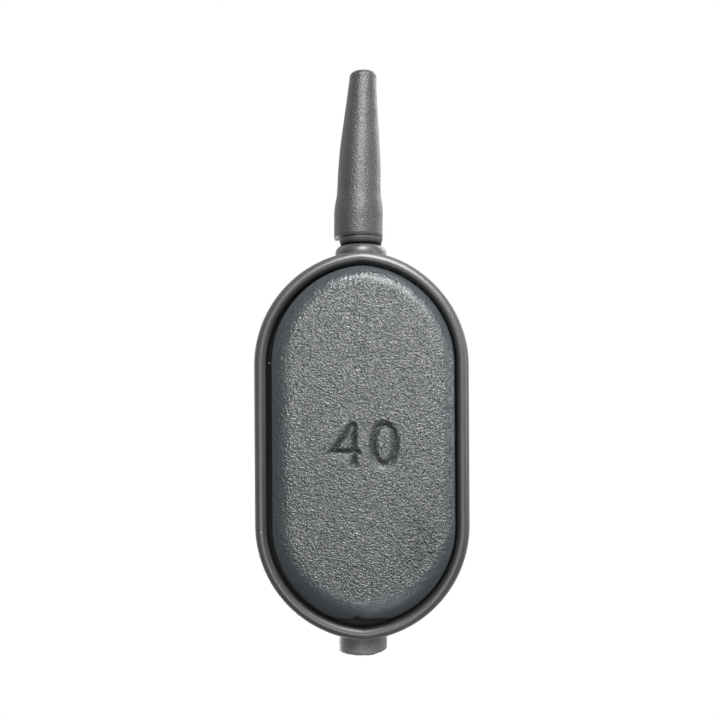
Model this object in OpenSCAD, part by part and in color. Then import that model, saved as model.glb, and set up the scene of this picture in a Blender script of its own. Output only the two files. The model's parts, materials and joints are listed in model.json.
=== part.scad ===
// In-line flat method feeder, lying on its lead with the bait ribs up.
// X runs across the feeder, Y along the line towards the tail rubber, Z up from the lead's face.
// The origin is on the lead's face, midway along the straight sides of the rim.

/* [Rim and tray] */
// Width of the frame over the rim bead
rim_w = 32.2; // [27:0.1:42]
// Length of the straight sides between the two rounded ends
side_l = 24.0; // [16:0.1:36]
// How far the arcs of the tail end are struck from across the centre line
tail_point = 1.1; // [0.2:0.05:2.5]
// How far the arcs of the swivel end are struck from across the centre line
foot_point = 1.2; // [0.2:0.05:2.5]
// Diameter of the round bead along the rim
bead_d = 2.0; // [1.4:0.05:2.4]
// Thickness of the wall that joins the bead to the floor
wall_t = 1.3; // [0.9:0.05:1.4]
// Thickness of the floor between the lead and the bait
floor_t = 1.3; // [1:0.05:2.2]
// Height of the kerb that locates the lead on the floor
kerb_h = 0.4; // [0.2:0.05:1.2]
// Radius of the tray's outer edge on the bait side
tray_edge_r = 0.7; // [0.2:0.05:0.9]

/* [Lead] */
// Thickness of the lead
lead_t = 2.4; // [2:0.05:4]
// Gap between the side of the lead and the inner side of the bead
lead_gap = 0.4; // [0.3:0.05:1]
// Gap between the lead's tail end and the bead
lead_tail_gap = 0.1; // [0.05:0.05:0.6]
// Gap that the lead's swivel end would leave to the bead if it were not cut
lead_foot_gap = 0.35; // [0.05:0.05:1]
// Length cut square off the lead's swivel end
lead_cut = 0.8; // [0.3:0.05:2]
// Radius of the edge round the lead's face
lead_edge_r = 1.6; // [0.5:0.05:1.9]
// How far the lead's face stands proud of the bead
lead_proud = 0.6; // [0.2:0.05:0.9]

/* [Bait ribs] */
// Thickness of each rib
rib_t = 1.4; // [1:0.05:1.8]
// Height of the middle rib above the floor
bait_h = 10.9; // [9:0.1:14]
// Height of the outermost ribs above the floor
edge_rib_h = 5.0; // [3:0.1:7]
// Distance from the side of the rim to the middle of the outermost rib
edge_rib_in = 1.5; // [1.2:0.05:2.5]
// Distance along a rib from its end on the floor to the rim
rib_runout = 2.0; // [1:0.1:5]

/* [Tunnel, collar and boss] */
// Diameter of the tunnel that the stem runs in
tunnel_d = 6.8; // [6.4:0.05:7.6]
// Plastic between the stem's bore and the floor's bait side
bore_lift = 0.32; // [0.1:0.02:1]
// Diameter of the collar at the tail end
collar_d = 7.85; // [7:0.05:9]
// Length of the collar
collar_l = 4.6; // [3:0.1:8]
// How far the collar stands out past the rim
collar_out = 1.55; // [1:0.05:3]
// Radius of the collar's outer edge
collar_edge_r = 1.1; // [0.3:0.05:1.2]
// Diameter of the boss at the swivel end
boss_d = 8.0; // [7.6:0.05:9]
// How far the boss stops short of the rim's outer edge
boss_in = 0.65; // [0.4:0.05:1.5]
// Solid length of the boss past the sleeve's socket
boss_back = 1.4; // [0.8:0.1:3]

/* [Stem] */
// Diameter of the stem inside the tunnel
stem_d = 5.0; // [4.6:0.05:5.2]
// Diameter of the bore for the line
line_bore_d = 2.4; // [1.6:0.05:2.6]
// Diameter of the spigot that carries the tail rubber
spigot_d = 5.3; // [5:0.05:5.8]
// Length of the spigot
spigot_l = 5.5; // [4:0.1:8]
// Diameter of the stem's shoulder next to the collar
shoulder_d = 6.2; // [6:0.05:6.8]
// Diameter of the shoulder next to the tail rubber
shoulder_lip_d = 6.8; // [6.4:0.05:7.2]
// Length of the shoulder
shoulder_l = 1.1; // [0.6:0.05:1.6]
// Diameter of the nipple that goes into the sleeve
nipple_d = 3.2; // [3:0.05:3.4]
// Length of the nipple
nipple_l = 3.6; // [2:0.1:5]
// Chamfer on the free end of the spigot
spigot_edge = 0.5; // [0.2:0.05:0.8]

/* [Swivel sleeve] */
// Diameter of the socket that takes the swivel
swivel_bore_d = 4.0; // [3.8:0.05:4.4]
// Diameter of the sleeve's body inside the boss
sleeve_d = 6.0; // [5.4:0.05:6.2]
// Length of the sleeve's body inside the boss
sleeve_l = 8.1; // [6:0.1:11]
// Diameter of the sleeve's head
sleeve_head_d = 7.4; // [7:0.05:8.4]
// Length of the sleeve's head
sleeve_head_l = 3.0; // [2:0.05:5]
// Radius of the head's outer edge
sleeve_edge_r = 0.45; // [0.3:0.05:1.2]

/* [Tail rubber] */
// Overall length of the tail rubber
tail_l = 25.6; // [20:0.1:36]
// Diameter where the rubber is stretched over the spigot
tail_base_d = 7.45; // [7:0.05:8.4]
// Diameter just past the spigot
tail_neck_d = 6.6; // [6:0.05:6.9]
// Length over which the stretched part draws in
tail_draw_l = 2.6; // [1.5:0.1:4]
// Diameter halfway along the taper
tail_mid_d = 6.1; // [5.2:0.05:6.4]
// Distance from the spigot's end to halfway along the taper
tail_mid_l = 7.4; // [5:0.1:9]
// Diameter at the tip
tail_tip_d = 4.1; // [3.4:0.05:5]
// Radius of the edge round the tip
tail_tip_r = 1.0; // [0.4:0.05:1.1]
// Diameter of the hole for the line in the tip
tip_bore_d = 1.8; // [1.2:0.05:2.2]

/* [Fits] */
// Radial clearance of the stem and the sleeve in the frame
run_clear = 0.08; // [0.03:0.01:0.1]
// Radial clearance of the soft pieces on the stem, drawn with no stretch
slip_clear = 0.05; // [0.02:0.01:0.1]
// End clearance between pieces that seat on each other
seat_clear = 0.08; // [0.04:0.01:0.15]
// Clearance between the lead and the kerb round it
lead_clear = 0.25; // [0.1:0.01:0.35]

/* [Hidden] */
$fn = 96;

// An outline is [half width, y of the tail springing, y of the swivel springing, tail point, swivel point].
rim = [rim_w / 2, side_l / 2, -side_l / 2, tail_point, foot_point];
lead_half_w = rim_w / 2 - bead_d - lead_gap;
lead_tail_y = rim[1] + lead_gap - lead_tail_gap;
lead = [lead_half_w, lead_tail_y, rim[2] - lead_gap + lead_foot_gap, tail_point, foot_point];

// Height of a pointed end above its springing line
function rise(half_w, point) = sqrt(pow(half_w + point, 2) - pow(point, 2));
tail_end_y = rim[1] + rise(rim[0], rim[3]);
foot_end_y = rim[2] - rise(rim[0], rim[4]);
lead_foot_y = lead[2] - rise(lead[0], lead[4]);

bead_r = bead_d / 2;
bead_z = lead_proud + bead_r;
floor_z = lead_t;
bait_z = floor_z + floor_t;
wall_in = bead_r - wall_t / 2;

bore_r = stem_d / 2 + run_clear;
axis_z = bait_z + bore_r + bore_lift;
collar_y = tail_end_y + collar_out;
boss_y = foot_end_y + boss_in;
socket_r = sleeve_d / 2 + run_clear;
socket_y = boss_y + sleeve_l + 2 * seat_clear;
head_clear_r = sleeve_head_d / 2 + run_clear;

shoulder_y = collar_y + seat_clear;
spigot_y = shoulder_y + shoulder_l;
spigot_top_y = spigot_y + spigot_l;
sleeve_top_y = boss_y - seat_clear + sleeve_l;
stem_foot_y = sleeve_top_y + seat_clear;
nipple_y = stem_foot_y - nipple_l;
tail_y = spigot_y + seat_clear;

crest_z = bait_z + bait_h;
edge_rib_x = rim_w / 2 - edge_rib_in;
mid_rib_x = (tunnel_d / 2 + edge_rib_x - rib_t / 2) / 2;
across_drop = bait_h - edge_rib_h;
across_r = (pow(edge_rib_x, 2) + pow(across_drop, 2)) / (2 * across_drop);

// Larger than the part, for cutters
far = 4 * (rim_w + side_l);

// The part of a cross-section that lies outside the plane through the axis
module outer_side() {
    intersection() {
        children();
        translate([0, -far]) square([far, 2 * far]);
    }
}

// A quarter of the outline's end: the section revolved about the centre of its arc, cut at the middle
module end_quarter(half_w, point) {
    intersection() {
        translate([-point, 0, 0])
            rotate_extrude(angle = 90) outer_side() translate([half_w + point, 0]) children();
        translate([0, -far / 2, -far / 2]) cube(far);
    }
}

// A cross-section carried round an outline, with x = 0 on the outline and inwards negative
module around(outline) {
    for (side = [0, 1]) mirror([side, 0, 0]) {
        translate([0, outline[1], 0])
            end_quarter(outline[0], outline[3]) children();
        translate([0, outline[1], 0]) rotate([90, 0, 0])
            linear_extrude(outline[1] - outline[2]) outer_side() translate([outline[0], 0]) children();
        translate([0, outline[2], 0]) mirror([0, 1, 0])
            end_quarter(outline[0], outline[4]) children();
    }
}

// A plate that fills an outline drawn in by inset, from z_low up to z_high
module plate(outline, inset, z_low, z_high) {
    around(outline) translate([-far - inset, z_low]) square([far, z_high - z_low]);
}

// A round bar along the stem's axis
module bar(r, y_low, y_high) {
    translate([0, y_high, axis_z]) rotate([90, 0, 0]) cylinder(r = r, h = y_high - y_low);
}

// A section in radius and length, revolved about the stem's axis
module turned() {
    translate([0, 0, axis_z]) rotate([-90, 0, 0]) mirror([0, 1, 0]) rotate_extrude() children();
}

// A section from x_low to x_high and y_low to y_high, with its corner at both high ends rounded
module rounded_section(x_low, x_high, y_low, y_high, edge_r) {
    translate([x_low, y_low]) square([x_high - x_low, y_high - edge_r - y_low]);
    translate([x_low, y_low]) square([x_high - edge_r - x_low, y_high - y_low]);
    intersection() {
        translate([x_high - edge_r, y_high - edge_r]) circle(edge_r);
        translate([x_high - edge_r, y_high - edge_r]) square(edge_r);
    }
}

// Where the rim ends along Y at a distance x from the middle
function rim_y(x, springing, point) = springing + sqrt(pow(rim[0] + point, 2) - pow(x + point, 2));

// Height of the rib at x, on the arc from the middle rib down to the outermost one
function rib_h(x) = bait_h - across_r + sqrt(pow(across_r, 2) - pow(x, 2));

// An arched rib: a slice of a round-edged disc that meets the floor short of the rim at both ends
module rib(x, z_low) {
    outer_x = abs(x) + rib_t / 2;
    tail_reach = rim_y(outer_x, rim[1], rim[3]) - rib_runout;
    foot_reach = rim_y(outer_x, -rim[2], rim[4]) - rib_runout;
    half_l = (tail_reach + foot_reach) / 2;
    arch_r = (pow(half_l, 2) + pow(rib_h(x), 2)) / (2 * rib_h(x));
    intersection() {
        translate([x, (tail_reach - foot_reach) / 2, bait_z + rib_h(x) - arch_r])
            rotate([0, 90, 0]) rotate_extrude() rib_section(arch_r);
        translate([-far / 2, -far / 2, z_low]) cube(far);
    }
}

// Half the section of the disc that a rib is cut from, with a full round on its rim
module rib_section(r) {
    translate([0, -rib_t / 2]) square([r - rib_t / 2, rib_t]);
    translate([r - rib_t / 2, 0]) circle(rib_t / 2);
}

module frame() {
    color("#3a3b3e") difference() {
        union() {
            around(rim) translate([-bead_r, bead_z]) circle(bead_r);
            difference() {
                around(rim) rounded_section(-far, -wall_in, bead_z, bait_z, tray_edge_r);
                plate(rim, wall_in + wall_t, bead_z - 1, floor_z - kerb_h);
                plate(lead, -lead_clear, bead_z - 1, floor_z);
            }
            rib(0, axis_z + bore_r + run_clear);
            for (x = [mid_rib_x, edge_rib_x], side = [-1, 1]) rib(side * x, bait_z - floor_t / 2);
            bar(tunnel_d / 2, socket_y, collar_y - collar_l / 2);
            turned() rounded_section(0, collar_d / 2, collar_y - collar_l, collar_y, collar_edge_r);
            bar(boss_d / 2, boss_y, socket_y + boss_back);
        }
        bar(bore_r, socket_y - 1, collar_y + 1);
        bar(socket_r, boss_y - 1, socket_y);
        bar(head_clear_r, boss_y - far, boss_y);
    }
}

module lead_weight() {
    foot_y = lead_foot_y + lead_cut;
    color("#5b5f66") intersection() {
        around(lead) translate([0, lead_t]) mirror([0, 1]) rounded_section(-far, 0, 0, lead_t, lead_edge_r);
        translate([-far / 2, 0, lead_t]) rotate([90, 0, 90]) linear_extrude(far)
            rotate(180) rounded_section(-far, -foot_y, 0, lead_t, lead_edge_r);
    }
}

module stem_tube() {
    color("#4a4742") turned() difference() {
        union() {
            translate([0, stem_foot_y]) square([stem_d / 2, shoulder_y - stem_foot_y]);
            translate([0, nipple_y]) square([nipple_d / 2, nipple_l]);
            polygon([
                [0, shoulder_y],
                [shoulder_d / 2, shoulder_y],
                [shoulder_lip_d / 2, spigot_y],
                [spigot_d / 2, spigot_y],
                [spigot_d / 2, spigot_top_y - spigot_edge],
                [spigot_d / 2 - spigot_edge, spigot_top_y],
                [0, spigot_top_y]
            ]);
        }
        translate([0, -far]) square([line_bore_d / 2, 2 * far]);
    }
}

module swivel_sleeve() {
    head_y = boss_y - seat_clear;
    color("#33312f") turned() difference() {
        union() {
            translate([0, head_y]) square([sleeve_d / 2, sleeve_l]);
            mirror([0, 1])
                rounded_section(0, sleeve_head_d / 2, -head_y, sleeve_head_l - head_y, sleeve_edge_r);
        }
        translate([0, nipple_y - seat_clear - far]) square([swivel_bore_d / 2, far]);
        translate([0, -far]) square([nipple_d / 2 + slip_clear, 2 * far]);
    }
}

module tail_rubber() {
    tip_y = tail_y + tail_l;
    bell_y = spigot_top_y + seat_clear;
    color("#33312f") turned() difference() {
        union() {
            polygon([
                [0, tail_y],
                [tail_base_d / 2, tail_y],
                [tail_base_d / 2, bell_y - tail_draw_l / 2],
                [tail_neck_d / 2, bell_y + tail_draw_l / 2],
                [tail_mid_d / 2, bell_y + tail_mid_l],
                [tail_tip_d / 2, tip_y - tail_tip_r],
                [0, tip_y - tail_tip_r]
            ]);
            rounded_section(0, tail_tip_d / 2, bell_y, tip_y, tail_tip_r);
        }
        translate([0, tail_y - 1]) square([spigot_d / 2 + slip_clear, bell_y - tail_y + 1]);
        translate([0, tail_y - 1]) square([tip_bore_d / 2, tail_l + 2]);
    }
}

frame();
lead_weight();
stem_tube();
swivel_sleeve();
tail_rubber();
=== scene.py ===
import json
import math

import bpy
import numpy as np
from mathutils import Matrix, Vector, noise


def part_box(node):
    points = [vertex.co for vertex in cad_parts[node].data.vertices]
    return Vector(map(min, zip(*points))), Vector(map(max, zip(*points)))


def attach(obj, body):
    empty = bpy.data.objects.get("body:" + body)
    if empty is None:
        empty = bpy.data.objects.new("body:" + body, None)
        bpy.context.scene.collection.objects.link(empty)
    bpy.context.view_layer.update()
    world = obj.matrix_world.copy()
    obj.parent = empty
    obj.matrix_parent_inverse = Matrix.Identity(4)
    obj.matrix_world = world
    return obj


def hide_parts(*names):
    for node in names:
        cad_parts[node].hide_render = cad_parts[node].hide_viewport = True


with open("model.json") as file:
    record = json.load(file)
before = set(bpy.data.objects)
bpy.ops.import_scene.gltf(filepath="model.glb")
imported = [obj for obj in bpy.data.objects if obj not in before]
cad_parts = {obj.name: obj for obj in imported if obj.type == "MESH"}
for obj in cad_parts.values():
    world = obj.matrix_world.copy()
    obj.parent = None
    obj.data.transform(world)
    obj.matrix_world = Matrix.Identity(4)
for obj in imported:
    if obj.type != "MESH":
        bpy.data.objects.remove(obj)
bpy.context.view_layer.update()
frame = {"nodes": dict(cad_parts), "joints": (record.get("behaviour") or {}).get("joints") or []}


# The frame
# One injection moulding in dark grey nylon: an oval tray with a round bead along its rim, arched bait ribs,
# and a tunnel for the stem. The solid keeps its shape here, and only its finish and a painted shade in the
# tray are added.

MM = 0.001  # sizes are written in millimetres, and Blender's are in metres


def linear(hex_colour):
    """An sRGB hex colour as linear red, green, blue and alpha."""
    parts = [int(hex_colour[i:i + 2], 16) / 255 for i in (1, 3, 5)]
    return [p / 12.92 if p <= 0.04045 else ((p + 0.055) / 1.055) ** 2.4 for p in parts] + [1.0]


def add_node(tree, kind, inputs=None, **settings):
    """Adds a node, sets its properties, and fills each named input with a value or a link."""
    made = tree.nodes.new(kind)
    for name, value in settings.items():
        setattr(made, name, value)
    for name, value in (inputs or {}).items():
        if isinstance(value, bpy.types.NodeSocket):
            tree.links.new(value, made.inputs[name])
        else:
            made.inputs[name].default_value = value
    return made


def empty_material(name):
    """A new material with no nodes yet."""
    made = bpy.data.materials.new(name)
    made.use_nodes = True
    made.node_tree.nodes.clear()
    return made


def per_metre(size_mm):
    """The texture scale at which a pattern repeats about every size_mm."""
    return 1 / (size_mm * MM)


def moulded_nylon():
    """Nylon from a steel mould: dark grey and satin, with clouds in its gloss, and painted shade in the tray:
    near black and dull between the bead and the lead.
    """
    cloud_mm = 5.0               # the clouds that the plastic's flow left
    grain_mm = 0.35              # the mould's grain is finer, and drawn this coarse so that it shows
    grain_depth = 0.006 * MM
    dust_mm, speck_mm = 3.0, 0.09  # spacing and size of its specks of dust
    crest = 15.1 * MM            # half the width of the tray at the crest of its bead
    straight = 12.0 * MM         # half the length of its straight sides
    strike = 1.15 * MM           # its ends' arcs are struck from this far across the centre line
    flank = 0.95 * MM            # width of the bead's inner flank
    floor_z = 2.9 * MM           # where the tray's floor ends
    over_all = 1.0               # more than any height, so that the reach is taken in plan
    made = empty_material("moulded_grey_nylon")
    tree = made.node_tree
    place = add_node(tree, "ShaderNodeTexCoord").outputs["Object"]
    clouds = add_node(tree, "ShaderNodeTexNoise", {
        "Vector": place, "Scale": per_metre(cloud_mm), "Detail": 3.0})
    grain = add_node(tree, "ShaderNodeTexNoise", {
        "Vector": place, "Scale": per_metre(grain_mm), "Detail": 2.0})
    colour = add_node(tree, "ShaderNodeMix", {
        "Factor": clouds.outputs["Fac"], "A": linear("#3c3e3f"), "B": linear("#444647")}, data_type="RGBA")
    gloss = add_node(tree, "ShaderNodeMapRange", {
        "Value": clouds.outputs["Fac"], "To Min": 0.35, "To Max": 0.41})

    # How far a place lies inside the crest of the bead, and whether it is in the tray: the mask of the
    # painted shade there
    folded = add_node(tree, "ShaderNodeVectorMath", {0: place}, operation="ABSOLUTE")
    moved = add_node(tree, "ShaderNodeVectorMath", {
        0: folded.outputs[0], 1: (-strike, straight, over_all)}, operation="SUBTRACT")
    past = add_node(tree, "ShaderNodeVectorMath", {0: moved.outputs[0], 1: (0, 0, 0)}, operation="MAXIMUM")
    reach = add_node(tree, "ShaderNodeVectorMath", {0: past.outputs[0]}, operation="LENGTH")
    within = add_node(tree, "ShaderNodeMapRange", {
        "Value": reach.outputs["Value"], "From Min": crest + strike, "From Max": crest + strike - flank})
    height = add_node(tree, "ShaderNodeSeparateXYZ", {0: place}).outputs["Z"]
    lower = add_node(tree, "ShaderNodeMath", {0: height, 1: floor_z}, operation="LESS_THAN")
    tray_shade = add_node(tree, "ShaderNodeMath", {
        0: within.outputs["Result"], 1: lower.outputs[0]}, operation="MULTIPLY")

    # Painted shade: the tray turns near black, and its gloss is turned down, where the deep gap round the
    # lead lies in shade
    shade = add_node(tree, "ShaderNodeMix", {
        "Factor": tray_shade.outputs[0], "A": colour.outputs["Result"], "B": linear("#101010")}, data_type="RGBA")
    dust = add_node(tree, "ShaderNodeTexVoronoi", {"Vector": place, "Scale": per_metre(dust_mm)})
    speck = add_node(tree, "ShaderNodeMath", {
        0: dust.outputs["Distance"], 1: speck_mm / dust_mm}, operation="LESS_THAN")
    dusty = add_node(tree, "ShaderNodeMix", {
        "Factor": speck.outputs[0], "A": shade.outputs["Result"], "B": linear("#a4a5a5")}, data_type="RGBA")
    shine = add_node(tree, "ShaderNodeMapRange", {"Value": tray_shade.outputs[0], "To Min": 0.85, "To Max": 0.08})
    bump = add_node(tree, "ShaderNodeBump", {
        "Height": grain.outputs["Fac"], "Distance": grain_depth, "Strength": 1.0})
    shader = add_node(tree, "ShaderNodeBsdfPrincipled", {
        "Base Color": dusty.outputs["Result"], "Roughness": gloss.outputs["Result"],
        "Normal": bump.outputs["Normal"], "IOR": 1.53, "Specular IOR Level": shine.outputs["Result"]})
    add_node(tree, "ShaderNodeOutputMaterial", {"Surface": shader.outputs["BSDF"]})
    return made


frame["nodes"]["frame"].material_slots[0].material = moulded_nylon()


# The lead
# A flat oval of cast lead with a rolled edge and a cut foot, dipped in a grey coat that crinkled on its face.
# Its weight in grams is sunk in the face. It lies in the tray, a little to one side, inside the kerb.

LEAD_STRIKE = (1.1, 1.2)     # the arcs of its tail and foot are struck from this far across the centre line
LEAD_CUT = 0.8               # length cut square off the foot
LEAD_SHIFT = 0.21            # it lies this far towards -X in the tray
LEAD_STEP = 0.115            # spacing of the mesh on the face
ROW_CROWD = 0.1              # how much its rows crowd towards the tail and the foot
COLUMN_CROWD = 0.7           # and its columns towards the sides
TIP_GAP = 0.02               # the last row stops this far from the tip of the tail
RIDGE_SOFT = 0.3             # half the width over which the two arcs of an end run into each other

# The next five give a value for the +X side, the -X side, the tail and the foot
ROLL_WIDTH = (3.2, 2.0, 1.6, 3.6)     # width of the rolled edge
ROLL_SLOPE = (0.72, 0.7, 0.48, 0.88)  # its slope at the very edge
ROLL_FLAT = (0.3, 0.7, 1.1, 0.0)      # the edge keeps that slope over this width
BARE_WIDTH = (0.4, 0.6, 1.2, 2.2)     # width of the band where the coat ran smooth
FADE_WIDTH = (2.7, 1.8, 0.6, 3.6)     # width over which it takes on its grain
CORNER_WIDER = 0.3           # the roll and the smooth band are this much wider in the corners of the foot

SHOULDER_WIDTH = 2.45        # the face falls off this far from the edge of its tail
SHOULDER_SLOPE = 0.36        # and with this slope
FACE_CROWN = 0.12            # the face stands this much prouder in the middle than at its sides
CUT_DEPTH = 0.25             # depth by which the edge of the cut is broken
CUT_WIDTH = 0.35             # and the width of that
NOTCH_X = 1.1                # place of a nick in the cut
NOTCH_DEPTH = 0.9
NOTCH_WIDTH = 0.45
NOTCH_SHORTER = 1.2          # it is this much shorter along the lead than it is wide

NUMBER_DEPTH = 0.9           # depth of the number
NUMBER_WALL = 0.82           # width of the walls of its grooves
WALL_RIGHT = 0.06            # they are this much wider on the reader's right of a stroke,
WALL_BELOW = 0.1             # this much wider below it,
WALL_LEVEL = 0.3             # and this much wider along a level stroke,
WALL_SLANT = 0.5             # less this where they face up or down to the right
WALL_CURVE = 1.8             # power of the walls' curve
CURVE_ABOVE = 0.8            # it is this much higher above and right of a stroke, and lower below and left,
CURVE_BELOW = 0.4            # where it is raised again by this straight below the stroke
LIP_SMOOTH = 0.6             # the grain is this much weaker on the lip below a stroke
LIP_FROM = 0.85              # place of that lip from the middle of the stroke
LIP_WIDTH = 0.25

WRINKLE_DEPTH = 0.035        # depth of the coat's wrinkles
WRINKLE_SIZE = 0.4
WRINKLE_LONGER = 1.3         # they are this much longer across the lead than along it
SAG_DEPTH = 0.03             # depth of the slow waves under them
SAG_SIZE = 4.0
FRAY_WIDE = 0.5              # how far the border of the grain frays in wide tongues
FRAY_WIDE_SIZE = 1.3
FRAY_FINE = 0.6              # and in fine ones
FRAY_FINE_SIZE = 0.5
FRAY_START = 0.5             # the first wrinkles show this far inside the smooth band
BAND_SMOOTH = 0.6            # the grain is this much weaker on a band along the tail's shoulder
BAND_FROM = 1.9              # place of that band from the edge
BAND_WIDTH = 0.55
PATCH_PLACE = (-8.8, -14.5)  # middle of a patch of coarser wrinkles
PATCH_SIZE = (3.4, 5.5)
PATCH_GRAIN = 0.4            # the grain is this much stronger on it
PATCH_DEPTH = 0.22           # depth of its own wrinkles
PATCH_WRINKLE = 0.9          # and their size


def smooth_step(value, low, high):
    """0 below low, 1 above high, and an even curve between."""
    t = np.clip((value - low) / (high - low), 0, 1)
    return t * t * (3 - 2 * t)


def crinkle(x, y, size_mm, seed):
    """Even noise between -1 and 1 on the points x, y, with features about size_mm wide."""
    flat = [noise.noise(Vector((a / size_mm, b / size_mm, seed))) for a, b in zip(x.ravel(), y.ravel())]
    return np.array(flat).reshape(x.shape)


def lead_grid(low, high):
    """Points x, y in rows across the lead's face, how far they lie inside its edge, their shares in its four
    sides, and how much wider the edge is at them in the corners of the foot."""
    half_w = high.x
    tail_r, foot_r = half_w + LEAD_STRIKE[0], half_w + LEAD_STRIKE[1]
    tail_y = high.y - math.sqrt(tail_r ** 2 - LEAD_STRIKE[0] ** 2)
    foot_y = low.y - LEAD_CUT + math.sqrt(foot_r ** 2 - LEAD_STRIKE[1] ** 2)
    rows = int((high.y - low.y) / LEAD_STEP)
    columns = int(2 * half_w / LEAD_STEP)
    t = np.linspace(0, 1, rows)
    y_row = low.y + (high.y - TIP_GAP - low.y) * (t + ROW_CROWD * np.sin(math.pi * t) ** 2 * (t - 0.5))
    strike_row = np.where(y_row > 0, *LEAD_STRIKE)
    past_row = np.maximum(np.maximum(y_row - tail_y, foot_y - y_row), 0)
    w_row = np.minimum(np.sqrt((half_w + strike_row) ** 2 - past_row ** 2) - strike_row, half_w)
    across = np.sin(np.linspace(-1, 1, columns) * COLUMN_CROWD) / math.sin(COLUMN_CROWD)
    x = w_row[:, None] * across[None, :]
    y, strike, past = [np.repeat(row[:, None], columns, 1) for row in (y_row, strike_row, past_row)]

    middle = np.sqrt(x ** 2 + RIDGE_SOFT ** 2) - RIDGE_SOFT * (1 - np.abs(x) / half_w)
    reach = np.hypot(middle + strike, past)
    inside = np.where(past > 0, half_w + strike - reach, half_w - np.abs(x))
    endways = np.where(past > 0, past / reach, 0) ** 2
    sideways = 1 - endways
    shares = (sideways * (x > 0), sideways * (x <= 0), endways * (y > 0), endways * (y <= 0))
    wider = CORNER_WIDER * 4 * sideways * endways * (y < 0)  # in full where the two shares are even
    return x, y, inside, shares, wider


def around(values, shares):
    """One value for each point, from those of the four sides and its shares in them."""
    return sum(share * value for share, value in zip(shares, values))


def from_line(u, v, start, end):
    """Distance of the points u, v from a straight stroke."""
    (ax, ay), (bx, by) = start, end
    length2 = (bx - ax) ** 2 + (by - ay) ** 2
    t = np.clip(((u - ax) * (bx - ax) + (v - ay) * (by - ay)) / length2, 0, 1)
    return np.hypot(u - ax - t * (bx - ax), v - ay - t * (by - ay))


def from_number(u, v):
    """Distance of the points u, v from the strokes of the number 40, with u to the reader's right."""
    four = [((-1.66, 3.07), (-4.55, -0.85)), ((-4.72, -0.88), (-0.8, -0.88)), ((-1.3, 3.07), (-1.3, -2.6))]
    four_thinner = 1.35
    nought_x, nought_y, half_wide, half_tall = 3.23, 0.18, 1.63, 2.89
    squareness, strokes = 0.87, 48
    turns = np.linspace(0, 2 * math.pi, strokes + 1)
    wide, tall = [np.sign(part) * np.abs(part) ** squareness for part in (np.cos(turns), np.sin(turns))]
    ring = list(zip(nought_x + half_wide * wide, nought_y + half_tall * tall))
    from_four = [four_thinner * from_line(u, v, *stroke) for stroke in four]
    from_nought = [from_line(u, v, *stroke) for stroke in zip(ring[:-1], ring[1:])]
    return np.minimum.reduce(from_four + from_nought)


def sunk_number(x, y):
    """Depth of the number's grooves, and how much smoother the coat is on the lip below them."""
    stroke = from_number(-x, y)
    right = -np.gradient(stroke, axis=1) / np.gradient(x, axis=1)
    up = np.gradient(stroke, axis=0) / np.gradient(y, axis=0)
    steepest = np.maximum(np.hypot(right, up), 1e-6)
    right, up = right / steepest, up / steepest
    below = np.maximum(-up, 0)
    wall = NUMBER_WALL + WALL_RIGHT * right - WALL_BELOW * up + (WALL_LEVEL - WALL_SLANT * right) * np.abs(up)
    above = np.clip(right + 2 * up, -1, 1)  # 1 above and right of a stroke, and -1 below and left of it
    sunk = np.maximum(1 - stroke / wall, 0) ** (WALL_CURVE + CURVE_ABOVE * above + CURVE_BELOW * below)
    smoother = LIP_SMOOTH * below * np.exp(-((stroke - LIP_FROM) / LIP_WIDTH) ** 2)
    return NUMBER_DEPTH * sunk, smoother


def coat_grain(x, y, inside, shares, wider, smoother):
    """How strongly the coat is crinkled, from 0 where it ran smooth, and the height of its wrinkles."""
    bare = around(BARE_WIDTH, shares) + wider
    fray = FRAY_WIDE * crinkle(x, y, FRAY_WIDE_SIZE, seed=3.0)
    fray += FRAY_FINE * crinkle(x, y, FRAY_FINE_SIZE, seed=5.0)
    grainy = smooth_step(inside + fray, bare - FRAY_START, bare + around(FADE_WIDTH, shares))
    grainy *= 1 - BAND_SMOOTH * np.sqrt(shares[2]) * np.exp(-((inside - BAND_FROM) / BAND_WIDTH) ** 2)
    grainy *= 1 - smoother
    patch = np.exp(-((x - PATCH_PLACE[0]) / PATCH_SIZE[0]) ** 2 - ((y - PATCH_PLACE[1]) / PATCH_SIZE[1]) ** 2)
    grainy *= 1 + PATCH_GRAIN * patch
    wrinkles = grainy * WRINKLE_DEPTH * crinkle(x / WRINKLE_LONGER, y, WRINKLE_SIZE, seed=11.0)
    sag = SAG_DEPTH * crinkle(x, y, SAG_SIZE, seed=23.0)
    coarse = PATCH_DEPTH * patch * crinkle(x / WRINKLE_LONGER, y, PATCH_WRINKLE, seed=31.0)
    return grainy, wrinkles + sag + coarse


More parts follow.
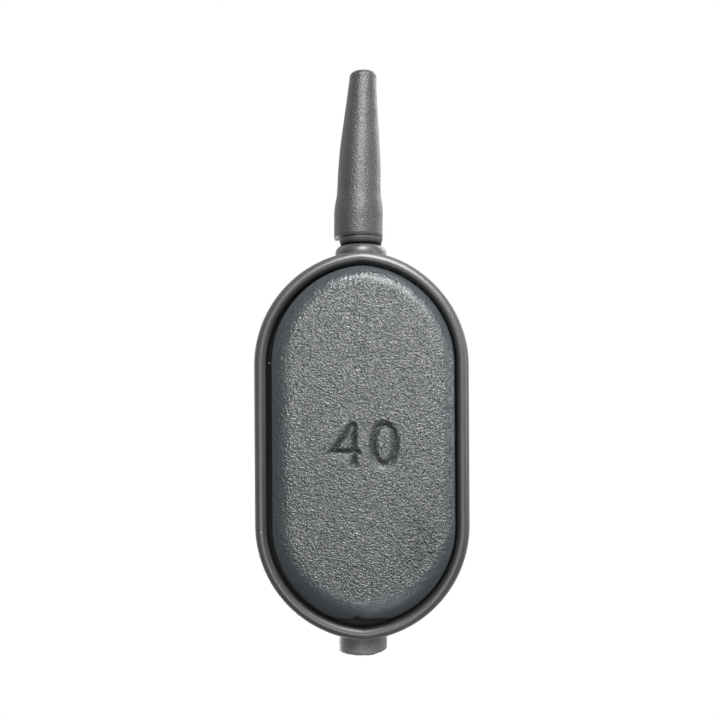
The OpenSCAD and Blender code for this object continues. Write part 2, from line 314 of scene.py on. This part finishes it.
def lead_mesh():
    """The lead as rows of points across its face, with a straight side and a back."""
    low, high = [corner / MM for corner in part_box("lead_weight")]
    x, y, inside, shares, wider = lead_grid(low, high)

    roll = around(ROLL_WIDTH, shares) + wider
    flat = around(ROLL_FLAT, shares)
    curved = np.maximum(roll - np.maximum(inside, flat), 0)
    z = around(ROLL_SLOPE, shares) * (np.maximum(flat - inside, 0) + curved ** 2 / (2 * (roll - flat)))
    z += SHOULDER_SLOPE * np.sqrt(shares[2]) * np.maximum(SHOULDER_WIDTH - inside, 0)
    z += FACE_CROWN * (x / high.x) ** 2
    from_cut = y - low.y
    z += CUT_DEPTH * np.maximum(1 - from_cut / CUT_WIDTH, 0) ** 2
    from_notch = np.hypot(x - NOTCH_X, from_cut * NOTCH_SHORTER)
    z += NOTCH_DEPTH * np.exp(-(from_notch / NOTCH_WIDTH) ** 2)
    sunk, smoother = sunk_number(x, y)
    z += sunk
    grainy, wrinkles = coat_grain(x, y, inside, shares, wider, smoother)
    z += wrinkles
    z = np.maximum(z - z.min(), 0)

    face = np.stack([x - LEAD_SHIFT, y, z], -1).reshape(-1, 3)
    grid = np.arange(x.size).reshape(x.shape)
    faces = np.stack([grid[:-1, :-1], grid[1:, :-1], grid[1:, 1:], grid[:-1, 1:]], -1).reshape(-1, 4).tolist()
    rim = list(grid[0, :]) + list(grid[1:, -1]) + list(grid[-1, -2::-1]) + list(grid[-2:0:-1, 0])
    back = face[rim].copy()
    back[:, 2] = high.z
    first = len(face)
    count = len(rim)
    for i in range(count):
        j = (i + 1) % count
        faces.append([rim[i], rim[j], first + j, first + i])
    faces.append([first + i for i in range(count)])
    made = bpy.data.meshes.new("lead_weight_coated")
    made.from_pydata((np.concatenate([face, back]) * MM).tolist(), [], faces)
    crinkled = made.attributes.new("crinkled", "FLOAT", "POINT")
    crinkled.data.foreach_set("value", np.concatenate([grainy.ravel(), np.zeros(count)]))
    made.shade_smooth()
    made.set_sharp_from_angle(angle=math.radians(60))
    return made


def crinkled_coat():
    """A grey coat baked on lead: slate blue where it ran smooth, and crinkled elsewhere, with painted shade
    in its wrinkles' pits and painted highlight on their crests.
    """
    blotch_mm = 6.0
    wrinkle_mm = 0.26            # the finest wrinkles, which lie on those of the mesh
    wrinkle_depth = 0.31 * MM
    lean, across = 0.15, 0.88    # they lean by this angle, and a scale under 1 draws them out across the lead
    made = empty_material("crinkled_coat_on_lead")
    tree = made.node_tree
    place = add_node(tree, "ShaderNodeTexCoord").outputs["Object"]
    crinkled = add_node(tree, "ShaderNodeAttribute", attribute_name="crinkled").outputs["Fac"]
    blotch = add_node(tree, "ShaderNodeTexNoise", {
        "Vector": place, "Scale": per_metre(blotch_mm), "Detail": 4.0})
    drawn_out = add_node(tree, "ShaderNodeMapping", {
        "Vector": place, "Rotation": (0, 0, lean), "Scale": (across, 1, 1)}).outputs["Vector"]
    wrinkle = add_node(tree, "ShaderNodeTexNoise", {
        "Vector": drawn_out, "Scale": per_metre(wrinkle_mm), "Detail": 1.5})
    smooth = add_node(tree, "ShaderNodeMix", {
        "Factor": blotch.outputs["Fac"], "A": linear("#404548"), "B": linear("#484d50")}, data_type="RGBA")
    # Painted shade and highlight: the crinkled coat is darker in the pits of the wrinkles and lighter on
    # their crests
    raised = add_node(tree, "ShaderNodeMapRange", {
        "Value": wrinkle.outputs["Fac"], "From Min": 0.33, "From Max": 0.72})
    wrinkle_shaded_colour = add_node(tree, "ShaderNodeMix", {
        "Factor": raised.outputs["Result"], "A": linear("#2a3032"), "B": linear("#5b5d5d")}, data_type="RGBA")
    colour = add_node(tree, "ShaderNodeMix", {
        "Factor": crinkled, "A": smooth.outputs["Result"], "B": wrinkle_shaded_colour.outputs["Result"]}, data_type="RGBA")
    height = add_node(tree, "ShaderNodeMath", {0: wrinkle.outputs["Fac"], 1: crinkled}, operation="MULTIPLY")
    bump = add_node(tree, "ShaderNodeBump", {
        "Height": height.outputs[0], "Distance": wrinkle_depth, "Strength": 1.0})
    gloss = add_node(tree, "ShaderNodeMapRange", {"Value": crinkled, "To Min": 0.34, "To Max": 0.24})
    shader = add_node(tree, "ShaderNodeBsdfPrincipled", {
        "Base Color": colour.outputs["Result"], "Roughness": gloss.outputs["Result"],
        "Normal": bump.outputs["Normal"], "IOR": 1.5, "Specular IOR Level": 1.0})
    add_node(tree, "ShaderNodeOutputMaterial", {"Surface": shader.outputs["BSDF"]})
    return made


def add_piece(name, mesh, material, body, node):
    """A mesh as a piece of the feeder, in place of the CAD node that it stands for."""
    made = bpy.data.objects.new(name, mesh)
    bpy.context.scene.collection.objects.link(made)
    mesh.materials.append(material)
    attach(made, body)
    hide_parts(node)


add_piece("lead_weight_coated", lead_mesh(), crinkled_coat(), "frame", "lead_weight")


# The stem
# A hard tube of dark grey acetal, turned smooth and pushed in from the tail end until its shoulder seats on
# the collar. Only that shoulder shows, between the collar and the tail rubber.

def dull_acetal():
    """Acetal: dark grey and dull, faintly mottled, and painted black with shade where its shoulder meets the
    collar.
    """
    mottle_mm = 0.5              # finer on a turned tube, and drawn this coarse so that it shows
    mottle_depth = 0.004 * MM
    collar_y, mouth_y = 30.9 * MM, 31.9 * MM  # the shoulder shows from the collar to the tail rubber's mouth
    made = empty_material("dull_grey_acetal")
    tree = made.node_tree
    place = add_node(tree, "ShaderNodeTexCoord").outputs["Object"]
    mottle = add_node(tree, "ShaderNodeTexNoise", {
        "Vector": place, "Scale": per_metre(mottle_mm), "Detail": 2.0})
    along = add_node(tree, "ShaderNodeSeparateXYZ", {0: place}).outputs["Y"]
    # Painted shade: the shoulder darkens to black towards the collar, in the groove under the tail rubber's
    # mouth, and loses its gloss there
    unshaded_share = add_node(tree, "ShaderNodeMapRange", {"Value": along, "From Min": collar_y, "From Max": mouth_y})
    colour = add_node(tree, "ShaderNodeMix", {
        "Factor": mottle.outputs["Fac"], "A": linear("#575755"), "B": linear("#605f5d")}, data_type="RGBA")
    groove_shaded = add_node(tree, "ShaderNodeMix", {
        "Factor": unshaded_share.outputs["Result"], "A": linear("#070707"), "B": colour.outputs["Result"]},
        data_type="RGBA")
    shine = add_node(tree, "ShaderNodeMapRange", {
        "Value": unshaded_share.outputs["Result"], "To Min": 0.05, "To Max": 0.6})
    bump = add_node(tree, "ShaderNodeBump", {"Height": mottle.outputs["Fac"], "Distance": mottle_depth})
    shader = add_node(tree, "ShaderNodeBsdfPrincipled", {
        "Base Color": groove_shaded.outputs["Result"], "Roughness": 0.48, "Normal": bump.outputs["Normal"],
        "IOR": 1.48, "Specular IOR Level": shine.outputs["Result"]})
    add_node(tree, "ShaderNodeOutputMaterial", {"Surface": shader.outputs["BSDF"]})
    return made


frame["nodes"]["stem_tube"].material_slots[0].material = dull_acetal()


# The swivel sleeve
# A short sleeve of soft grey rubber, pushed over the stem's foot. Its head was cut off by hand, so that
# the end is a little ragged and one side is trimmed short, and its bore is open for the swivel.

AXIS_Z = frame["joints"][0]["pos_m"][2] / MM  # height of the stem's axis
SIDES = 128                                   # points in each ring of a turned piece


def lathe_mesh(name, profile, shape):
    """A closed profile of radius and y, turned about the stem's axis; shape moves each ring's points."""
    angle = np.linspace(0, 2 * math.pi, SIDES, endpoint=False)
    points = []
    for number, (radius, y) in enumerate(profile):
        r, at_y, aside = shape(number, np.full(SIDES, radius), np.full(SIDES, y), angle)
        points.append(np.stack([r * np.cos(angle) + aside, at_y, AXIS_Z + r * np.sin(angle)], -1))
    grid = np.arange(len(profile) * SIDES).reshape(len(profile), SIDES)
    after, beside = np.roll(grid, -1, 0), np.roll(grid, -1, 1)
    faces = np.stack([grid, beside, np.roll(after, -1, 1), after], -1).reshape(-1, 4)
    made = bpy.data.meshes.new(name)
    made.from_pydata((np.concatenate(points) * MM).tolist(), [], faces.tolist())
    made.validate()
    made.shade_smooth()
    made.set_sharp_from_angle(angle=math.radians(50))
    return made


def round_corner(radius, y, edge_r, start, end, steps):
    """Points of a round edge about a centre at radius and y, between two angles in degrees."""
    turns = np.radians(np.linspace(start, end, steps))
    return [(radius + edge_r * math.cos(a), y + edge_r * math.sin(a)) for a in turns]


def ring_noise(angle, waves, level):
    """Even noise between -1 and 1 round a ring; level, one or one a point, moves through its pattern."""
    levels = np.broadcast_to(level, angle.shape)
    return np.array([noise.noise(Vector((waves * math.cos(a), waves * math.sin(a), v)))
                     for a, v in zip(angle, levels)])


def sleeve_mesh():
    """Body in the boss, head outside it, and the stepped bore for the stem's foot and the swivel."""
    low, high = [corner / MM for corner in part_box("swivel_sleeve")]
    head_r, head_l, edge_r, back_edge = high.x, 3.0, 0.4, 0.15
    body_r, body_edge = 3.0, 0.2
    swivel_r, foot_r, socket_l = 2.0, 1.65, 7.5
    flare = [(1.4, 0.0), (0.3, 0.05), (0.0, 0.2)]  # distance from the end, and how far the bore opens there
    cut_reach = 1.1              # the cut shows this far up the head
    cut_proud = 0.12             # and leaves its end this much proud
    ragged_up, ragged_out, nicked_up = 0.06, 0.03, 0.05
    trim_depth, trim_from = 0.38, 0.45  # the trimmed side, and how far across the head it starts

    neck_y = low.y + head_l
    head = round_corner(head_r - edge_r, low.y + edge_r, edge_r, -90, 0, steps=6)
    head += [(head_r, y) for y in np.linspace(low.y + edge_r, neck_y - back_edge, num=8)[1:]]
    body = [(head_r - back_edge, neck_y), (body_r, neck_y), (body_r, high.y - body_edge),
            (body_r - body_edge, high.y)]
    bore = [(foot_r, high.y), (foot_r, low.y + socket_l), (swivel_r, low.y + socket_l)]
    mouth = [(swivel_r + wider, low.y + along) for along, wider in flare]
    profile = head + body + bore + mouth

    def shape(number, r, y, angle):
        """Ragged and trimmed on the head and the mouth of the bore, and plain between."""
        if len(head) <= number < len(profile) - len(mouth):
            return r, y, 0
        near_end = np.exp(-((y - low.y) / cut_reach) ** 2)
        ragged = ring_noise(angle, waves=2.2, level=5.0)
        nicked = ring_noise(angle, waves=7, level=9.0)
        trimmed = np.maximum(-np.cos(angle) - trim_from, 0) / (1 - trim_from)
        up = near_end * (ragged_up * ragged + nicked_up * nicked + trim_depth * trimmed - cut_proud)
        return r + ragged_out * ragged * near_end, y + up, 0

    return lathe_mesh("swivel_sleeve_rubber", profile, shape)


def moulded_rubber(name, dark, light, mottle_mm):
    """Soft grey rubber: dull, in faint blotches, with a mottled skin from the mould that breaks its gloss."""
    blotch_mm = 4.0
    mottle_depth = 0.11 * MM
    made = empty_material(name)
    tree = made.node_tree
    place = add_node(tree, "ShaderNodeTexCoord").outputs["Object"]
    blotch = add_node(tree, "ShaderNodeTexNoise", {
        "Vector": place, "Scale": per_metre(blotch_mm), "Detail": 3.0})
    mottle = add_node(tree, "ShaderNodeTexNoise", {
        "Vector": place, "Scale": per_metre(mottle_mm), "Detail": 3.0})
    colour = add_node(tree, "ShaderNodeMix", {
        "Factor": blotch.outputs["Fac"], "A": linear(dark), "B": linear(light)}, data_type="RGBA")
    bump = add_node(tree, "ShaderNodeBump", {
        "Height": mottle.outputs["Fac"], "Distance": mottle_depth, "Strength": 1.0})
    shader = add_node(tree, "ShaderNodeBsdfPrincipled", {
        "Base Color": colour.outputs["Result"], "Roughness": 0.44, "Normal": bump.outputs["Normal"],
        "IOR": 1.5, "Specular IOR Level": 0.68})
    add_node(tree, "ShaderNodeOutputMaterial", {"Surface": shader.outputs["BSDF"]})
    return made


cut_rubber = moulded_rubber("cut_sleeve_rubber", "#696a69", "#737473", 0.35)
add_piece("swivel_sleeve_rubber", sleeve_mesh(), cut_rubber, "sleeve", "swivel_sleeve")


# The tail rubber
# A soft tapered tube moulded in grey rubber, stretched over the stem's spigot. It leans a little, bulges over
# the spigot, and has tags of flash at its mouth and where the mould's halves met at its tip.

TAIL_LEAN = (0.38, -0.52)    # how far its middle lies towards +X at the mouth and at the tip
TAIL_BOW = 0.16              # and how far it bows out between them


def smooth_profile(stations, step):
    """Radius and y along a soft outline through the stations, a step apart."""
    y_at = np.array([y for y, _ in stations])
    d_at = np.array([d for _, d in stations])
    slope = np.gradient(d_at, y_at)
    points = []
    for y in np.arange(y_at[0], y_at[-1], step):
        i = min(np.searchsorted(y_at, y, "right") - 1, len(y_at) - 2)
        span = y_at[i + 1] - y_at[i]
        t = (y - y_at[i]) / span
        d = ((1 + 2 * t) * (1 - t) ** 2 * d_at[i] + t * t * (3 - 2 * t) * d_at[i + 1]
             + span * t * (1 - t) * ((1 - t) * slope[i] - t * slope[i + 1]))
        points.append((d / 2, y))
    return points


def tail_mesh():
    """Mouth, bulge over the spigot, taper and domed tip outside; the spigot's bore and the line's inside."""
    low, high = [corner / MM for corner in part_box("tail_rubber")]
    mouth, tip = low.y, high.y
    base_d = high.x - low.x
    # Distance from the mouth and outer diameter
    stations = [(0.3, base_d), (2.0, base_d), (4.3, base_d - 0.02), (5.4, 7.18), (6.4, 6.85), (8.0, 6.68),
                (10.2, 6.54), (13.0, 6.22), (15.6, 5.78), (18.0, 5.32), (21.0, 4.72), (24.6, 4.1)]
    step, mouth_edge = 0.25, 0.2
    tip_r, dome, parting = 2.05, 0.75, 0.06  # radius of the tip and its dome, and the parting line under it
    bell_r, bell_l, bell_edge, bell_edge_l = 2.7, 5.5, 0.12, 0.15
    hole_r, hole_bend = 0.9, 6.0  # the line's hole takes up the lean over this length
    seam_out, seam_width = 0.02, 0.12
    mouth_flash, tip_flash, tip_share = 0.55, 0.16, 0.4  # reach of the flash, and how strong it is at the tip
    tag_out, tag_down, tag_turn, tag_width = 0.14, 0.2, 0.25, 0.2
    waver_out, waver_l = 0.035, 3.0

    outer = [(base_d / 2 - mouth_edge, mouth)]
    outer += [(r, mouth + y) for r, y in smooth_profile(stations, step)]
    outer += [(tip_r, tip - dome - parting), (tip_r, tip - dome)]
    outer += round_corner(tip_r - dome, tip - dome, dome, 0, 90, steps=8)
    inner = [(hole_r, tip), (hole_r, mouth + bell_l), (bell_r, mouth + bell_l), (bell_r, mouth + bell_edge_l),
             (bell_r + bell_edge, mouth)]

    def shape(number, r, y, angle):
        """Leaning all along, with the seam and its flash on the outside."""
        t = (y - mouth) / (tip - mouth)
        aside = TAIL_LEAN[0] + (TAIL_LEAN[1] - TAIL_LEAN[0]) * t + 4 * TAIL_BOW * t * (1 - t)
        if number >= len(outer):
            return r, y, aside * smooth_step(y, mouth + bell_l, mouth + bell_l + hole_bend)
        seam = np.exp(-(np.sin(angle) / seam_width) ** 2)
        flash = np.exp(-((y - mouth) / mouth_flash) ** 2)
        flash += tip_share * np.exp(-((y - tip + dome) / tip_flash) ** 2)
        tag = np.exp(-(np.sin(angle - tag_turn) / tag_width) ** 2)
        waver = ring_noise(angle, waves=1.5, level=y / waver_l)
        r = r + seam_out * seam + tag_out * tag * flash + waver_out * waver
        return r, y - tag_down * tag * flash, aside

    return lathe_mesh("tail_rubber_moulded", outer + inner, shape)


mottled_rubber = moulded_rubber("mottled_tail_rubber", "#353635", "#3f403f", 0.32)
add_piece("tail_rubber_moulded", tail_mesh(), mottled_rubber, "tail_rubber", "tail_rubber")


# The studio
# The feeder lies on its lead, and the photograph was taken from under it. So the pale floor is there only for
# what starts above it, and a camera under it looks through, with the lamps that stand there.

CAMERA_BELOW = 167.0         # distance of the camera from the lead's face
CAMERA_Y = 0.25              # the camera stands under this place along the feeder
CAMERA_SHIFT = (-0.0026, 0.1163)  # shift of the lens that frames the feeder as in the photograph
CAMERA_NEAREST = 10.0        # nearest distance that the camera sees
FIELD = 108.0                # width of the picture at the rim
RIM_Z = 1.6                  # height of the rim
SENSOR = 36.0                # width of the camera's sensor
ROLL = 0.31                  # the feeder stands this many degrees out of upright in the picture

camera = bpy.data.objects.new("camera", bpy.data.cameras.new("camera"))
bpy.context.scene.collection.objects.link(camera)
camera.location = (0, CAMERA_Y * MM, -CAMERA_BELOW * MM)
camera.rotation_euler = (0, math.pi, math.radians(ROLL))
camera.data.sensor_width = SENSOR
camera.data.lens = SENSOR * (CAMERA_BELOW + RIM_Z) / FIELD
camera.data.shift_x, camera.data.shift_y = CAMERA_SHIFT
camera.data.clip_start = CAMERA_NEAREST * MM
bpy.context.scene.camera = camera

FLOOR_HALF = 3000.0          # half the width of the floor
FLOOR_GAP = 0.1              # the lead's face clears it by this much
PAINT_FULL = 100.0           # its paint is full up to this distance from the feeder
PAINT_GONE = 300.0           # and has run out into the white behind it at this one


def pale_paint():
    """Pale matt paint, seen by what starts above the floor; all else passes through it."""
    made = empty_material("pale_floor")
    tree = made.node_tree
    path = add_node(tree, "ShaderNodeLightPath")
    side = add_node(tree, "ShaderNodeNewGeometry")
    clear = add_node(tree, "ShaderNodeBsdfTransparent")
    paint = add_node(tree, "ShaderNodeBsdfDiffuse", {"Color": linear("#f2f2f2")})
    above = add_node(tree, "ShaderNodeMath", {0: 1.0, 1: side.outputs["Backfacing"]}, operation="SUBTRACT")
    first = add_node(tree, "ShaderNodeMath", {
        0: path.outputs["Transparent Depth"], 1: 0.5}, operation="LESS_THAN")
    seen = add_node(tree, "ShaderNodeMath", {0: above.outputs[0], 1: first.outputs[0]}, operation="MULTIPLY")
    place = add_node(tree, "ShaderNodeTexCoord").outputs["Object"]
    away = add_node(tree, "ShaderNodeVectorMath", {0: place}, operation="LENGTH")
    near = add_node(tree, "ShaderNodeMapRange", {
        "Value": away.outputs["Value"], "From Min": PAINT_GONE * MM, "From Max": PAINT_FULL * MM})
    solid = add_node(tree, "ShaderNodeMath", {
        0: seen.outputs[0], 1: near.outputs["Result"]}, operation="MULTIPLY")
    mixed = add_node(tree, "ShaderNodeMixShader", {
        0: solid.outputs[0], 1: clear.outputs[0], 2: paint.outputs[0]})
    add_node(tree, "ShaderNodeOutputMaterial", {"Surface": mixed.outputs[0]})
    return made


corners = [(-1, -1), (1, -1), (1, 1), (-1, 1)]
points = [(a * FLOOR_HALF * MM, b * FLOOR_HALF * MM, -FLOOR_GAP * MM) for a, b in corners]
floor_mesh = bpy.data.meshes.new("floor")
floor_mesh.from_pydata(points, [], [(0, 1, 2, 3)])
floor_mesh.materials.append(pale_paint())
floor = bpy.data.objects.new("floor", floor_mesh)
bpy.context.scene.collection.objects.link(floor)

UNDERSIDE = (0, 5, 3)        # what the lamps under the floor are aimed at
UPPER_SIDE = (0, 10, 6)      # and those above it


def add_lamp(name, place_mm, aim_mm, size_mm, watts):
    """A square soft box, aimed at a point on the feeder."""
    data = bpy.data.lights.new(name, "AREA")
    data.energy = watts
    data.size = size_mm * MM
    made = bpy.data.objects.new(name, data)
    bpy.context.scene.collection.objects.link(made)
    made.location = Vector(place_mm) * MM
    made.rotation_euler = (Vector(aim_mm) - Vector(place_mm)).to_track_quat("-Z", "Y").to_euler()
    made.visible_camera = False


add_lamp("soft_box_below", (-20, 131, -208), UNDERSIDE, 90, 0.35)
add_lamp("side_light_below", (-135, 135, -161), UNDERSIDE, 90, 0.09)
add_lamp("tail_light_below", (-20, 115, -105), UNDERSIDE, 60, 0.19)
add_lamp("rim_light_below", (-70, 230, -65), UNDERSIDE, 90, 0.11)
add_lamp("left_fill_below", (110, 0, -225), UNDERSIDE, 90, 0.05)
add_lamp("front_fill_below", (10, -70, -245), UNDERSIDE, 60, 0.135)
add_lamp("right_fill_below", (-230, 40, -95), UNDERSIDE, 90, 0.125)
add_lamp("low_fill_below", (-60, -170, -165), UNDERSIDE, 90, 0.04)
add_lamp("soft_box_above", (120, -140, 300), UPPER_SIDE, 240, 0.8)
add_lamp("rim_light_above", (-180, 160, 180), UPPER_SIDE, 160, 0.3)

SKY_LIGHT = 0.5              # light that the white above gives the feeder
GROUND_LIGHT = 0.04          # and the white below


def white_surround():
    """White to the camera all round, and to gloss and glass above; the feeder gets less light from it."""
    made = bpy.data.worlds.new("studio")
    made.use_nodes = True
    tree = made.node_tree
    tree.nodes.clear()
    path = add_node(tree, "ShaderNodeLightPath")
    way = add_node(tree, "ShaderNodeTexCoord").outputs["Generated"]
    height = add_node(tree, "ShaderNodeSeparateXYZ", {0: way}).outputs["Z"]
    upward = add_node(tree, "ShaderNodeMath", {0: height, 1: 0.0}, operation="GREATER_THAN")
    mirror = add_node(tree, "ShaderNodeMath", {
        0: path.outputs["Is Glossy Ray"], 1: path.outputs["Is Transmission Ray"]}, operation="MAXIMUM")
    shown = add_node(tree, "ShaderNodeMath", {
        0: path.outputs["Is Camera Ray"], 1: mirror.outputs[0]}, operation="MAXIMUM")
    sky = add_node(tree, "ShaderNodeMapRange", {
        "Value": shown.outputs[0], "To Min": SKY_LIGHT, "To Max": 1.0})
    ground = add_node(tree, "ShaderNodeMapRange", {
        "Value": path.outputs["Is Camera Ray"], "To Min": GROUND_LIGHT, "To Max": 1.0})
    white = linear("#ffffff")
    above = add_node(tree, "ShaderNodeBackground", {"Color": white, "Strength": sky.outputs["Result"]})
    below = add_node(tree, "ShaderNodeBackground", {"Color": white, "Strength": ground.outputs["Result"]})
    mixed = add_node(tree, "ShaderNodeMixShader", {
        0: upward.outputs[0], 1: below.outputs[0], 2: above.outputs[0]})
    add_node(tree, "ShaderNodeOutputWorld", {"Surface": mixed.outputs[0]})
    return made


bpy.context.scene.world = white_surround()
bpy.context.scene.view_settings.view_transform = "Standard"
